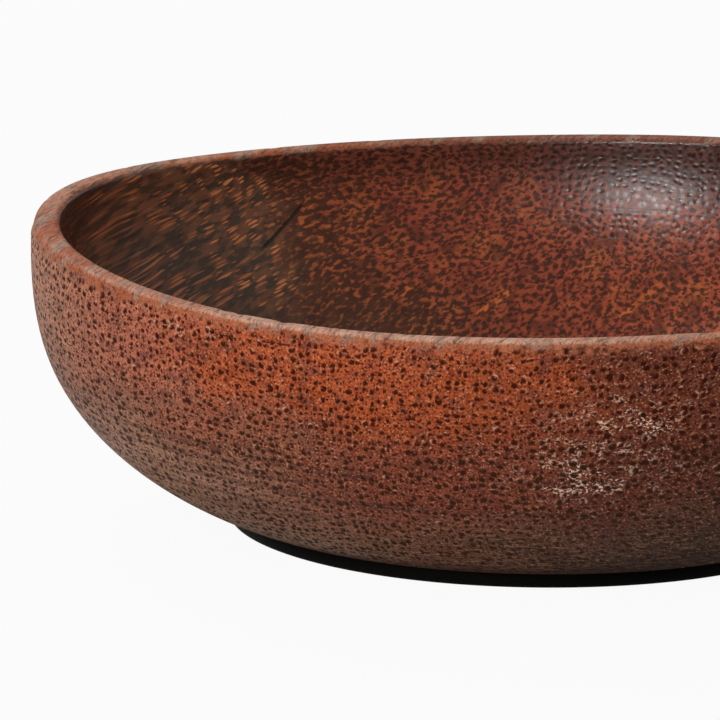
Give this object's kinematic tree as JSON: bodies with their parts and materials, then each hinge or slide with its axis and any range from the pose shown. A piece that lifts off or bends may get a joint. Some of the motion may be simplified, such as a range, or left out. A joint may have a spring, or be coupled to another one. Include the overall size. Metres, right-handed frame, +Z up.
{
  "type": "soup plate",
  "caption": "Round turned soup plate of dark coconut palm wood with a deep dish, a full round belly, a blunt rounded lip and a low black foot ring.",
  "frame": {"origin": "on the table under the plate's axis, at the middle of the foot ring's lower face", "axes": "+Z up along the turning axis, +Y along the glue line and, within about 10 degrees, the fibres of the wood, +X across the boards towards the narrow board"},
  "size_m": [0.2, 0.2, 0.0597],
  "materials": {
    "wide_board_wood": "oiled and satin lacquered coconut palm wood, dark bundle dots on end grain and streaks on side grain",
    "narrow_board_wood": "oiled and satin lacquered coconut palm wood, a little darker than the wide board",
    "set_glue": "thin film of set dark wood glue, sanded flush",
    "blackened_wood": "blackened hardwood, matt"
  },
  "bodies": {
    "root": {"wide_board": "wide_board_wood", "narrow_board": "narrow_board_wood", "glue_line": "set_glue", "foot_ring": "blackened_wood"}
  },
  "joints": []
}
